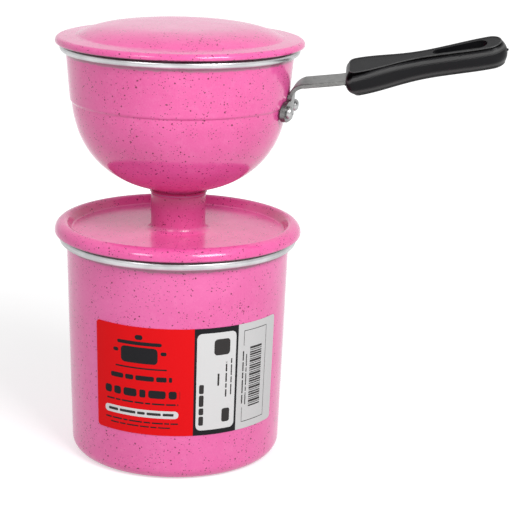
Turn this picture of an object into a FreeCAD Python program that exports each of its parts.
import FreeCAD, Part

import math
import os

V = FreeCAD.Vector
AXIS = V(0, 0, 1)
ORIGIN = V(0, 0, 0)

# A couscous steamer: a base pot, a flat cover drawn up into a steam neck, a round bowl pressed
# onto that neck with a perforated plate inside, and a domed lid. The bowl has a riveted handle.
# Millimetres, +Z up. The origin is the centre of the pot's resting face, the handle points
# along +X, and every turned piece is centred on the Z axis.

# Base pot
pot_mouth_radius = 70.0
pot_wall = 1.2
pot_height = 144.4
pot_base_radius = 67.9
pot_corner_radius = 8.0
pot_bead_diameter = 6.0
bead_turn = 290.0

# Cover of the pot and the neck that is drawn from it
cover_sheet = 1.2
cover_overhang = 2.8
cover_rim_round = 5.65
cover_fold_round = 0.9
cover_panel_depth = 5.6
cover_step_angle = 62.0
cover_step_round = 2.0
cover_leg_length = 2.2
cover_leg_round = 1.2
cover_leg_clearance = 0.3
seat_gap = 0.1
neck_radius = 17.4
neck_foot_round = 4.0
neck_height = 25.8
neck_bell_round = 3.0
neck_bell_turn = 50.0

# Steamer bowl
bowl_wall = 1.2
bowl_mouth_radius = 70.2
bowl_height = 92.2
bowl_round_depth = 55.2
bowl_round_share = 0.86
bowl_round_power = 2.3
bowl_shoulder_step = 1.0
bowl_shoulder_round = 1.6
bowl_bead_diameter = 4.8
bowl_joint_gap = 1.0
collar_length = 8.0
collar_round = 2.6
collar_clearance = 0.02

# Perforated plate inside the bowl
plate_radius = 47.0
plate_sheet = 1.2
plate_clearance = 0.1
plate_hole_diameter = 4.0
plate_hole_pitch = 9.0
plate_hole_margin = 6.0
first_ring_count = 6

# Bowl lid
lid_sheet = 1.1
lid_overhang = 2.8
lid_rim_round = 2.35
lid_fold_round = 0.8
lid_brim_width = 9.5
lid_brim_slope = 4.0
lid_dome_blend = 4.0
lid_dome_rise = 7.2
lid_dome_edge_slope = 28.0
lid_leg_length = 2.2
lid_leg_round = 1.2
lid_leg_clearance = 0.3

# Handle bracket
rivet_height = 54.3
rivet_spacing = 27.5
bracket_sheet = 2.8
bracket_gap = 0.5
bracket_ear_radius = 6.5
bracket_fillet = 3.0
bracket_neck_length = 0.4
strap_width = 17.0
strap_reach = 34.0
strap_edge_round = 0.6
strap_foot_bend = 3.0
strap_lean = 26.0
strap_rise = 1.2
strap_top_bend = 10.0
strap_slope = 7.5
strap_twist = 9.5
strap_tail_bend = 60.0
handle_tilt = 13.0
tang_length = 24.0

# Rivets
rivet_shank_diameter = 4.0
rivet_head_diameter = 7.8
rivet_head_height = 3.2
rivet_shop_diameter = 7.0
rivet_shop_height = 1.4
rivet_shop_chamfer = 0.6
rivet_head_edge = 0.8
rivet_dome_share = 0.4
rivet_dimple_diameter = 2.4
rivet_dimple_depth = 0.5
rivet_dimple_floor = 1.2

# Grip
grip_length = 99.8
grip_near_width = 26.5
grip_waist_width = 14.5
grip_far_width = 20.4
grip_waist_place = 0.50
grip_near_thickness = 15.8
grip_waist_thickness = 14.4
grip_far_thickness = 13.8
grip_side_bulge = 3.8
grip_corner_round = 4.0
grip_roll = 18.0
tang_clearance = 0.05
hang_slot_length = 33.5
hang_slot_wide = 10.0
hang_slot_narrow = 5.6
hang_slot_margin = 11.0

# Paper label on the pot
label_width = 127.5
label_height = 70.0
label_bottom = 30.6
label_azimuth = -71.7
label_thickness = 0.2
label_corner = 2.5
label_glue = 0.1

# How finely the free curves are drawn
curve_stations = 11
outline_stations = 7
outline_levels = 5
search_limit = 1e-12

# Sizes that follow from those above
pot_bead_round = (pot_bead_diameter - pot_wall) / 2
pot_bead_height = pot_height - pot_bead_diameter / 2
pot_bead_edge = pot_mouth_radius + pot_wall / 2 + pot_bead_round + pot_bead_diameter / 2
pot_outer_radius = pot_mouth_radius + pot_wall
cover_rim_radius = pot_bead_edge + cover_overhang
cover_lip_level = pot_height + seat_gap + cover_sheet / 2
cover_crest_level = cover_lip_level + cover_fold_round + cover_rim_round
cover_panel_level = cover_crest_level - cover_panel_depth
neck_middle = neck_radius - cover_sheet / 2
neck_top = cover_panel_level + neck_height
bowl_bottom = neck_top + bowl_joint_gap + bowl_wall / 2
bowl_rim = bowl_bottom - bowl_wall / 2 + bowl_height
bowl_bead_round = (bowl_bead_diameter - bowl_wall) / 2
bowl_bead_height = bowl_rim - bowl_bead_diameter / 2
bowl_bead_middle = bowl_mouth_radius + bowl_wall / 2 + bowl_bead_round
lid_rim_radius = bowl_bead_middle + bowl_bead_diameter / 2 + lid_overhang
lid_lip_level = bowl_rim + seat_gap + lid_sheet / 2
collar_middle = neck_middle - cover_sheet / 2 - bowl_wall / 2 - collar_clearance
rivet_level = bowl_bottom + rivet_height
grip_start = bowl_mouth_radius + strap_reach


def polar(distance, degrees):
    """A step in the XZ plane: 0 degrees points outward, 90 degrees points up."""
    turn = math.radians(degrees)
    return V(distance * math.cos(turn), 0, distance * math.sin(turn))


class SheetSection:
    """The section of a bent sheet, drawn along the middle of its thickness in the XZ plane."""

    bend_stops = 6

    def __init__(self, radius, height, heading, thickness):
        self.point = V(radius, 0, height)
        self.heading = heading
        self.half = thickness / 2
        self.left = []
        self.right = []
        self.length = 0
        self.stops = [(self.point, heading, 0)]

    def side(self, offset):
        """The point beside the pen, to its left where the offset is positive."""
        return self.point + polar(offset, self.heading + 90)

    def straight(self, length):
        left_start = self.side(self.half)
        right_start = self.side(-self.half)
        self.point = self.point + polar(length, self.heading)
        self.left.append(Part.makeLine(left_start, self.side(self.half)))
        self.right.append(Part.makeLine(right_start, self.side(-self.half)))
        self.length += length
        self.stops.append((self.point, self.heading, self.length))

    def bend(self, radius, turn):
        """An arc of the middle line, to the left where the turn is positive."""
        hand = math.copysign(1, turn)
        centre = self.side(hand * radius)
        start = self.heading - hand * 90
        faces = ((self.left, radius - hand * self.half), (self.right, radius + hand * self.half))
        for edges, face_radius in faces:
            ends = [centre + polar(face_radius, start + turn * share) for share in (0, 0.5, 1)]
            edges.append(Part.Arc(*ends).toShape())
        for stop in range(1, self.bend_stops + 1):
            share = stop / self.bend_stops
            travelled = self.length + radius * math.radians(abs(turn)) * share
            place = centre + polar(radius, start + turn * share)
            self.stops.append((place, self.heading + turn * share, travelled))
        self.point = centre + polar(radius, start + turn)
        self.heading += turn
        self.length += radius * math.radians(abs(turn))

    def follow(self, stations):
        """A smooth stretch through stations, each a radius, a height and a heading."""
        for edges, offset in ((self.left, self.half), (self.right, -self.half)):
            points = [V(r, 0, z) + polar(offset, h + 90) for r, z, h in stations]
            curve = Part.BSplineCurve()
            first = polar(1, stations[0][2])
            last = polar(1, stations[-1][2])
            curve.interpolate(Points=points, InitialTangent=first, FinalTangent=last)
            edges.append(curve.toShape())
        radius, height, self.heading = stations[-1]
        self.point = V(radius, 0, height)

    def face(self):
        """The closed section, with square ends unless an end lies on the axis."""
        start_cap = Part.makeLine(self.right[0].valueAt(self.right[0].FirstParameter),
                                  self.left[0].valueAt(self.left[0].FirstParameter))
        end_cap = Part.makeLine(self.left[-1].valueAt(self.left[-1].LastParameter),
                                self.right[-1].valueAt(self.right[-1].LastParameter))
        edges = self.left + [end_cap] + self.right + [start_cap]
        return Part.Face(Part.Wire(Part.__sortEdges__(edges)))

    def turned(self):
        """The solid that the section makes when it is turned about the Z axis."""
        return self.face().revolve(ORIGIN, AXIS, 360)


def pot_taper():
    """The lean of the pot's wall from upright, in degrees."""
    run = pot_outer_radius - pot_base_radius
    return math.degrees(math.atan2(run, pot_bead_height - pot_corner_radius))


def pot_wall_radius(height):
    """The outer radius of the pot's wall at a height."""
    return pot_outer_radius - (pot_bead_height - height) * math.tan(math.radians(pot_taper()))


def make_base_pot():
    """The pot, spun from one disc, with its mouth rolled outward into a bead."""
    turn = 90 - pot_taper()
    middle = pot_corner_radius - pot_wall / 2
    lean = math.radians(pot_taper())
    wall_start = pot_wall_radius(pot_corner_radius * (1 - math.sin(lean)))
    corner_end = wall_start - pot_wall / 2 * math.cos(lean)
    section = SheetSection(0, pot_wall / 2, 0, pot_wall)
    section.straight(corner_end - middle * math.cos(lean))
    section.bend(middle, turn)
    section.straight((pot_bead_height - section.point.z) / math.cos(lean))
    section.bend(pot_bead_round, -bead_turn)
    return section.turned()


def make_neck_cover():
    """The cover: an edge folded under with a leg inside the pot, a sunk panel and the neck."""
    bell_reach = neck_bell_round * (1 - math.cos(math.radians(neck_bell_turn)))
    section = SheetSection(neck_middle + bell_reach, neck_top, -90 - neck_bell_turn, cover_sheet)
    section.bend(neck_bell_round, neck_bell_turn)
    foot = neck_foot_round + cover_sheet / 2
    section.straight(section.point.z - foot - cover_panel_level)
    section.bend(foot, 90)
    step = 2 * cover_step_round
    angle = math.radians(cover_step_angle)
    wall = (cover_panel_depth - step * (1 - math.cos(angle))) / math.sin(angle)
    crest_radius = cover_rim_radius - cover_sheet / 2 - cover_rim_round
    panel_edge = crest_radius - step * math.sin(angle) - wall * math.cos(angle)
    section.straight(panel_edge - section.point.x)
    section.bend(cover_step_round, cover_step_angle)
    section.straight(wall)
    section.bend(cover_step_round, -cover_step_angle)
    section.bend(cover_rim_round, -90)
    section.bend(cover_fold_round, -90)
    leg_radius = pot_mouth_radius - cover_leg_clearance - cover_sheet / 2
    section.straight(section.point.x - leg_radius - cover_leg_round)
    section.bend(cover_leg_round, 90)
    section.straight(cover_leg_length)
    return section.turned()


class BowlCurve:
    """The rounded lower half of the bowl: a quarter of a superellipse, flat below."""

    def __init__(self):
        self.depth = bowl_round_depth / bowl_round_share
        self.power = 2 / bowl_round_power
        self.end = math.acos((1 - bowl_round_share) ** (1 / self.power))
        self.end_level = bowl_bottom + bowl_round_depth
        reach = bowl_bead_height - self.end_level
        slope = self.cotangent(self.end) / self.depth
        mouth = bowl_mouth_radius + bowl_wall / 2 - bowl_shoulder_step
        self.radius = mouth / (math.sin(self.end) ** self.power + slope * reach)
        self.lean = math.degrees(math.atan(self.radius * slope))

    def cotangent(self, angle):
        return (1 / math.tan(angle)) ** (2 - self.power)

    def at_radius(self, radius):
        return math.asin((radius / self.radius) ** (1 / self.power))

    def station(self, angle):
        """The radius, the height and the heading of the middle line."""
        radius = self.radius * math.sin(angle) ** self.power
        height = bowl_bottom + self.depth * (1 - math.cos(angle) ** self.power)
        outward = self.radius * self.cotangent(angle)
        return radius, height, math.degrees(math.atan2(self.depth, outward))

    def start(self):
        """The angle at which the curve meets the bend of the collar, settled by repetition."""
        angle = self.at_radius(collar_middle + collar_round)
        change = 1
        while abs(change) > search_limit:
            turn = math.radians(self.station(angle)[2])
            settled = self.at_radius(collar_middle + collar_round * (1 - math.sin(turn)))
            change = settled - angle
            angle = settled
        return angle

    def inner_point(self, angle):
        """The point of the bowl's inner face beside a station."""
        radius, height, heading = self.station(angle)
        return V(radius, 0, height) + polar(bowl_wall / 2, heading + 90)


def make_steamer_bowl():
    """The bowl: a collar for the neck, a rounded bottom, a shoulder, a wall and a rolled bead."""
    curve = BowlCurve()
    first = curve.start()
    span = (curve.end - first) / (curve_stations - 1)
    angles = [first + span * step for step in range(curve_stations)]
    stations = [curve.station(angle) for angle in angles]
    bend_rise = collar_round * math.cos(math.radians(stations[0][2]))
    section = SheetSection(collar_middle, stations[0][1] - bend_rise - collar_length, 90, bowl_wall)
    section.straight(collar_length)
    section.bend(collar_round, stations[0][2] - 90)
    section.follow(stations)
    step = bowl_shoulder_step * math.cos(math.radians(curve.lean))
    shoulder_turn = math.degrees(math.acos(1 - step / (2 * bowl_shoulder_round)))
    section.bend(bowl_shoulder_round, -shoulder_turn)
    section.bend(bowl_shoulder_round, shoulder_turn)
    section.straight((bowl_bead_height - section.point.z) / math.cos(math.radians(curve.lean)))
    section.bend(bowl_bead_round, -bead_turn)
    return section.turned()


def bowl_wall_radius(height):
    """The outer radius of the bowl's upper wall, carried on below the shoulder."""
    lean = math.radians(BowlCurve().lean)
    face = bowl_mouth_radius + bowl_wall / 2 + bowl_wall / 2 / math.cos(lean)
    return face - (bowl_bead_height - height) * math.tan(lean)


def plate_level():
    """The height at which the plate's lower edge meets the rounded bottom of the bowl."""
    curve = BowlCurve()
    low = curve.start()
    high = curve.end
    while high - low > search_limit:
        middle = (low + high) / 2
        if curve.inner_point(middle).x < plate_radius + plate_clearance:
            low = middle
        else:
            high = middle
    return curve.inner_point(high).z


def make_steam_plate():
    """The perforated plate, with rings of holes whose number follows each ring's length."""
    level = plate_level()
    plate = Part.makeCylinder(plate_radius, plate_sheet, V(0, 0, level))
    below = V(0, 0, level - plate_sheet)
    centre_hole = Part.makeCylinder(plate_hole_diameter / 2, 3 * plate_sheet, below)
    holes = [centre_hole]
    rings = int((plate_radius - plate_hole_margin) / plate_hole_pitch)
    for ring in range(1, rings + 1):
        holes_in_ring = first_ring_count * ring
        for step in range(holes_in_ring):
            hole = centre_hole.translated(V(ring * plate_hole_pitch, 0, 0))
            hole.rotate(ORIGIN, AXIS, 360 * step / holes_in_ring)
            holes.append(hole)
    return plate.cut(holes)


def make_bowl_lid():
    """The lid: a dome, a nearly flat brim, and an edge folded under with a leg inside the bowl."""
    brim = math.radians(lid_brim_slope)
    slope = math.radians(lid_dome_edge_slope)
    roll_radius = lid_rim_radius - lid_sheet / 2 - lid_rim_round * (1 - math.sin(brim))
    roll_level = lid_lip_level + lid_fold_round + lid_rim_round * math.cos(brim)
    blend_run = lid_dome_blend * (math.sin(slope) - math.sin(brim))
    blend_fall = lid_dome_blend * (math.cos(brim) - math.cos(slope))
    edge_radius = roll_radius - lid_brim_width * math.cos(brim) - blend_run
    edge_height = roll_level + lid_brim_width * math.sin(brim) + blend_fall
    power = edge_radius * math.tan(slope) / lid_dome_rise
    stations = []
    for step in range(curve_stations):
        share = step / (curve_stations - 1)
        height = edge_height + lid_dome_rise * (1 - share ** power)
        fall = math.tan(slope) * share ** (power - 1)
        stations.append((edge_radius * share, height, -math.degrees(math.atan(fall))))
    section = SheetSection(0, stations[0][1], 0, lid_sheet)
    section.follow(stations)
    section.bend(lid_dome_blend, lid_dome_edge_slope - lid_brim_slope)
    section.straight(lid_brim_width)
    section.bend(lid_rim_round, lid_brim_slope - 90)
    section.bend(lid_fold_round, -90)
    leg_radius = bowl_mouth_radius - lid_leg_clearance - lid_sheet / 2
    section.straight(section.point.x - leg_radius - lid_leg_round)
    section.bend(lid_leg_round, 90)
    section.straight(lid_leg_length)
    return section.turned()


def hollow_rise():
    """How far above the rivets the hollow beside each ear runs into the strap's side."""
    reach = bracket_ear_radius + bracket_fillet
    return math.sqrt(reach ** 2 - (strap_width / 2 + bracket_fillet - rivet_spacing / 2) ** 2)


def bracket_crease():
    """The distance along the wall from the rivets to the bend where the strap leaves it."""
    return hollow_rise() + bracket_neck_length


def bracket_outline(top):
    """The plate seen along X: two round ears, hollows beside the strap, and the strap's root."""
    half = rivet_spacing / 2
    side = strap_width / 2
    rise = hollow_rise()
    reach = bracket_ear_radius + bracket_fillet
    edges = []
    for hand in (-1, 1):
        ear = V(0, hand * half, rivet_level)
        hollow = V(0, hand * (side + bracket_fillet), rivet_level + rise)
        touch = ear + (hollow - ear) * (bracket_ear_radius / reach)
        root = hollow - V(0, hand * bracket_fillet, 0)
        middle = (touch + root) * 0.5 - hollow
        middle = hollow + middle * (bracket_fillet / middle.Length)
        bottom = ear - V(0, 0, bracket_ear_radius)
        edges.append(Part.makeLine(V(0, 0, bottom.z), bottom))
        edges.append(Part.Arc(bottom, ear + V(0, hand * bracket_ear_radius, 0), touch).toShape())
        edges.append(Part.Arc(touch, middle, root).toShape())
        edges.append(Part.makeLine(root, V(0, root.y, top)))
        edges.append(Part.makeLine(V(0, root.y, top), V(0, 0, top)))
    return Part.Face(Part.Wire(Part.__sortEdges__(edges)))


def make_bracket_plate():
    """The plate, bowed to the bowl's wall."""
    upright = 90 - BowlCurve().lean
    low = rivet_level - 2 * bracket_ear_radius
    middle = bowl_wall_radius(low) + bracket_gap + bracket_sheet / 2
    band = SheetSection(middle, low, upright, bracket_sheet)
    band.straight(bracket_crease() + 3 * bracket_ear_radius)
    outline = bracket_outline(rivet_level + bracket_crease())
    return band.turned().common(outline.extrude(V(2 * bowl_mouth_radius, 0, 0)))


def strap_line():
    """The strap's middle line from the plate to the grip, and where its top bend begins."""
    lean = BowlCurve().lean
    wall = bowl_wall_radius(rivet_level) + bracket_gap
    start = V(wall, 0, rivet_level) + polar(bracket_sheet / 2, -lean)
    section = SheetSection(start.x, start.z, 90 - lean, bracket_sheet)
    section.straight(bracket_crease())
    section.bend(strap_foot_bend, -strap_lean)
    section.straight(strap_rise)
    top_bend = section.stops[-1]
    section.bend(strap_top_bend, strap_slope - section.heading)
    tail_sines = math.sin(math.radians(handle_tilt)) - math.sin(math.radians(strap_slope))
    run = grip_start - strap_tail_bend * tail_sines - section.point.x
    section.straight(run / math.cos(math.radians(strap_slope)))
    section.bend(strap_tail_bend, handle_tilt - strap_slope)
    return section, top_bend


def strap_ring(point, heading, twist, width, sheet):
    """The strap's cross-section, with rounded edges, square to its middle line."""
    half_width = width / 2 - strap_edge_round
    half_sheet = sheet / 2 - strap_edge_round
    edges = []
    for quarter in range(4):
        along = half_width if quarter in (0, 3) else -half_width
        up = half_sheet if quarter < 2 else -half_sheet
        angles = [math.radians(90 * quarter + step) for step in (0, 45, 90)]
        corner = [V(0, along + strap_edge_round * math.cos(a), up + strap_edge_round * math.sin(a))
                  for a in angles]
        edges.append(Part.Arc(*corner).toShape())
    joined = []
    for edge, following in zip(edges, edges[1:] + edges[:1]):
        end = edge.valueAt(edge.LastParameter)
        joined += [edge, Part.makeLine(end, following.valueAt(following.FirstParameter))]
    ring = Part.Wire(joined)
    ring.rotate(ORIGIN, V(1, 0, 0), twist)
    ring.rotate(ORIGIN, V(0, 1, 0), -heading)
    ring.translate(point)
    return ring


def make_strap():
    """The strap: it bends away from the plate, twists in its top bend and runs into the grip."""
    section, top_bend = strap_line()
    start = top_bend[2]
    top_end = section.stops.index(top_bend) + SheetSection.bend_stops
    twist_length = section.stops[top_end][2] - start
    rings = []
    for point, heading, distance in section.stops[1:]:
        twist = strap_twist * min(1, max(0, (distance - start) / twist_length))
        rings.append(strap_ring(point, heading, twist, strap_width, bracket_sheet))
    bends = Part.makeLoft(rings[:top_end], True)
    straight = Part.makeLoft(rings[top_end - 1:top_end + 1], True, True)
    tail = Part.makeLoft(rings[top_end:], True)
    tang = Part.Face(rings[-1]).extrude(polar(tang_length, section.heading))
    return bends.fuse([straight, tail, tang])


def make_handle_bracket():
    """The stamped bracket: a plate bowed to the wall, and the strap that holds the grip."""
    bracket = make_bracket_plate().fuse(make_strap()).removeSplitter()
    for hand in (-1, 1):
        bracket = bracket.cut(rivet_hole(hand))
    return bracket


def rivet_frame(hand):
    """The place of a rivet on the wall: its turn about Z and the wall's outer radius there."""
    radius = bowl_wall_radius(rivet_level)
    return hand * math.degrees(rivet_spacing / 2 / radius), radius


def place_rivet(shape, hand):
    """Turns a shape made along X at the wall to a rivet's place."""
    turn, radius = rivet_frame(hand)
    lean = BowlCurve().lean
    shape.rotate(ORIGIN, V(0, 1, 0), lean)
    shape.translate(V(radius, 0, rivet_level))
    shape.rotate(ORIGIN, AXIS, turn)
    return shape


def rivet_hole(hand):
    """The hole for a rivet's shank, through the plate and the bowl's wall."""
    reach = 2 * (bracket_gap + bracket_sheet + bowl_wall + bowl_shoulder_step)
    radius = rivet_shank_diameter / 2
    hole = Part.makeCylinder(radius, 2 * reach, V(-reach, 0, 0), V(1, 0, 0))
    return place_rivet(hole, hand)


def make_rivet(hand):
    """A rivet: a domed head with a dimple outside, a shank, and an upset head inside."""
    outside = bracket_gap + bracket_sheet
    inside = -bowl_wall - bowl_shoulder_step
    shank = rivet_shank_diameter / 2
    shop = rivet_shop_diameter / 2
    dimple = rivet_dimple_diameter / 2
    end = inside - rivet_shop_height
    crown = outside + rivet_head_height
    head_edge = V(outside + rivet_head_edge, 0, rivet_head_diameter / 2)
    brim = V(crown, 0, dimple)
    lift = (brim - head_edge) * 0.5
    shoulder = head_edge + lift + V(-lift.z, 0, lift.x) * rivet_dome_share
    floor = crown - rivet_dimple_depth
    corners = [brim, V(floor, 0, rivet_dimple_floor / 2), V(floor, 0, 0), V(end, 0, 0),
               V(end, 0, shop - rivet_shop_chamfer),
               V(end + rivet_shop_chamfer, 0, shop), V(inside, 0, shop), V(inside, 0, shank),
               V(outside, 0, shank), V(outside, 0, rivet_head_diameter / 2), head_edge]
    edges = [Part.makeLine(*pair) for pair in zip(corners, corners[1:])]
    edges.append(Part.Arc(head_edge, shoulder, brim).toShape())
    rivet = Part.Face(Part.Wire(edges)).revolve(ORIGIN, V(1, 0, 0), 360)
    return place_rivet(rivet, hand)


def grip_half_width(share):
    """Half the grip's outer width along its length, from 0 at the strap to 1 at the far end."""
    near = grip_near_width / 2
    waist = grip_waist_width / 2
    far = grip_far_width / 2
    if share < grip_waist_place:
        side = (grip_waist_place - share) / grip_waist_place
        return waist + (near - waist) * (1 - math.cos(math.pi * side)) / 2
    side = (share - grip_waist_place) / (1 - grip_waist_place)
    return waist + (far - waist) * (1 - math.cos(math.pi * side)) / 2


def grip_outline(inset, level):
    """The waisted outline, with rounded near corners and a round far end, drawn in by an inset."""
    near = inset + grip_corner_round
    far = grip_length - grip_far_width / 2
    sides = []
    for hand in (-1, 1):
        points = []
        for step in range(outline_stations):
            share = step / (outline_stations - 1)
            half = grip_half_width(share) - inset
            points.append(V(near + (far - near) * share, hand * half, level))
        curve = Part.BSplineCurve()
        curve.interpolate(Points=points, InitialTangent=V(1, 0, 0), FinalTangent=V(1, 0, 0))
        sides.append((curve.toShape(), points[0], points[-1]))
    edges = [sides[0][0], sides[1][0]]
    edges.append(Part.Arc(sides[0][2], V(grip_length - inset, 0, level), sides[1][2]).toShape())
    butts = []
    for _, start, _ in sides:
        hand = math.copysign(grip_corner_round, start.y)
        butt = start + V(-grip_corner_round, -hand, 0)
        middle = start + V(0, -hand, 0) + V(-grip_corner_round, hand, 0) * math.sqrt(0.5)
        edges.append(Part.Arc(start, middle, butt).toShape())
        butts.append(butt)
    edges.append(Part.makeLine(*butts))
    return Part.Wire(Part.__sortEdges__(edges))


def make_grip_blank():
    """The grip's body: outlines stacked through its thickness, widest at the middle."""
    half = max(grip_near_thickness, grip_waist_thickness, grip_far_thickness) / 2
    side_round = (half ** 2 + grip_side_bulge ** 2) / (2 * grip_side_bulge)
    outlines = []
    for step in range(outline_levels):
        level = half * (2 * step / (outline_levels - 1) - 1)
        inset = side_round - math.sqrt(side_round ** 2 - level ** 2)
        outlines.append(grip_outline(inset, level))
    return Part.makeLoft(outlines, True)


def make_handle_grip():
    """The moulded grip: bulging sides, flat faces with a crisp edge, a hanging slot, a socket."""
    grip = make_grip_blank().common(grip_side_profile()).cut(hang_slot())
    return place_grip(grip).cut(tang_socket()).Solids[0]


def grip_side_profile():
    """The grip's thickness seen from the side, a little thinner past the near end."""
    places = (0, grip_length * grip_waist_place, grip_length)
    halves = (grip_near_thickness / 2, grip_waist_thickness / 2, grip_far_thickness / 2)
    wide = grip_far_width
    top = Part.Arc(*[V(x, -wide, half) for x, half in zip(places, halves)]).toShape()
    bottom = Part.Arc(*[V(x, -wide, -half) for x, half in zip(places, halves)]).toShape()
    near = Part.makeLine(V(places[0], -wide, -halves[0]), V(places[0], -wide, halves[0]))
    far = Part.makeLine(V(places[2], -wide, -halves[2]), V(places[2], -wide, halves[2]))
    wire = Part.Wire(Part.__sortEdges__([top, far, bottom, near]))
    return Part.Face(wire).extrude(V(0, 2 * wide, 0))


def hang_slot():
    """The pear-shaped slot to hang the steamer by, wide towards the far end."""
    wide = hang_slot_wide / 2
    narrow = hang_slot_narrow / 2
    far_x = grip_length - hang_slot_margin - wide
    near_x = far_x - hang_slot_length + wide + narrow
    lean = math.asin((wide - narrow) / (far_x - near_x))
    sin = math.sin(lean)
    cos = math.cos(lean)
    low = -grip_near_thickness
    near_low = V(near_x - narrow * sin, -narrow * cos, low)
    near_high = V(near_x - narrow * sin, narrow * cos, low)
    far_low = V(far_x - wide * sin, -wide * cos, low)
    far_high = V(far_x - wide * sin, wide * cos, low)
    edges = [
        Part.makeLine(near_low, far_low),
        Part.Arc(far_low, V(far_x + wide, 0, low), far_high).toShape(),
        Part.makeLine(far_high, near_high),
        Part.Arc(near_high, V(near_x - narrow, 0, low), near_low).toShape(),
    ]
    return Part.Face(Part.Wire(edges)).extrude(V(0, 0, -2 * low))


def place_grip(shape):
    """Moves the grip from its own frame, with its length along X, to the end of the strap."""
    shape.rotate(ORIGIN, V(1, 0, 0), grip_roll)
    shape.rotate(ORIGIN, V(0, 1, 0), -handle_tilt)
    shape.translate(strap_line()[0].point)
    return shape


def tang_socket():
    """The socket that the strap's tang fills."""
    section, _ = strap_line()
    width = strap_width + 2 * tang_clearance
    sheet = bracket_sheet + 2 * tang_clearance
    mouth = section.point - polar(grip_corner_round, section.heading)
    ring = strap_ring(mouth, section.heading, strap_twist, width, sheet)
    depth = tang_length + grip_corner_round + tang_clearance
    return Part.Face(ring).extrude(polar(depth, section.heading))


def make_label_sticker():
    """The paper label, bowed to the pot's wall, with rounded corners."""
    lean = math.radians(pot_taper())
    middle = pot_wall_radius(label_bottom + label_height / 2)
    sweep = math.degrees(label_width / middle)
    low = V(pot_wall_radius(label_bottom), 0, label_bottom)
    rise = V(label_height * math.sin(lean), 0, label_height * math.cos(lean))
    out = V(math.cos(lean), 0, -math.sin(lean))
    inner_low = low + out * label_glue
    outer_low = low + out * (label_glue + label_thickness)
    corners = [inner_low, outer_low, outer_low + rise, inner_low + rise]
    face = Part.Face(Part.makePolygon(corners + corners[:1]))
    label = face.revolve(ORIGIN, AXIS, sweep)
    short = [edge for edge in label.Edges if edge.Length < 2 * label_thickness]
    label = label.makeFillet(label_corner, short)
    label.rotate(ORIGIN, AXIS, label_azimuth - sweep / 2)
    return label


def main():
    os.makedirs("parts", exist_ok=True)
    bowl = make_steamer_bowl()
    for hand in (-1, 1):
        bowl = bowl.cut(rivet_hole(hand))
    parts = {
        "base_pot": make_base_pot(),
        "neck_cover": make_neck_cover(),
        "steamer_bowl": bowl,
        "steam_plate": make_steam_plate(),
        "bowl_lid": make_bowl_lid(),
        "handle_bracket": make_handle_bracket(),
        "handle_grip": make_handle_grip(),
        "rivet_front": make_rivet(-1),
        "rivet_rear": make_rivet(1),
        "label_sticker": make_label_sticker(),
    }
    for name, shape in parts.items():
        solids = len(shape.Solids)
        print(f"{name}: {solids} solid, valid {shape.isValid()}, volume {shape.Volume:.1f}")
        shape.exportStep(f"parts/{name}.step")


main()
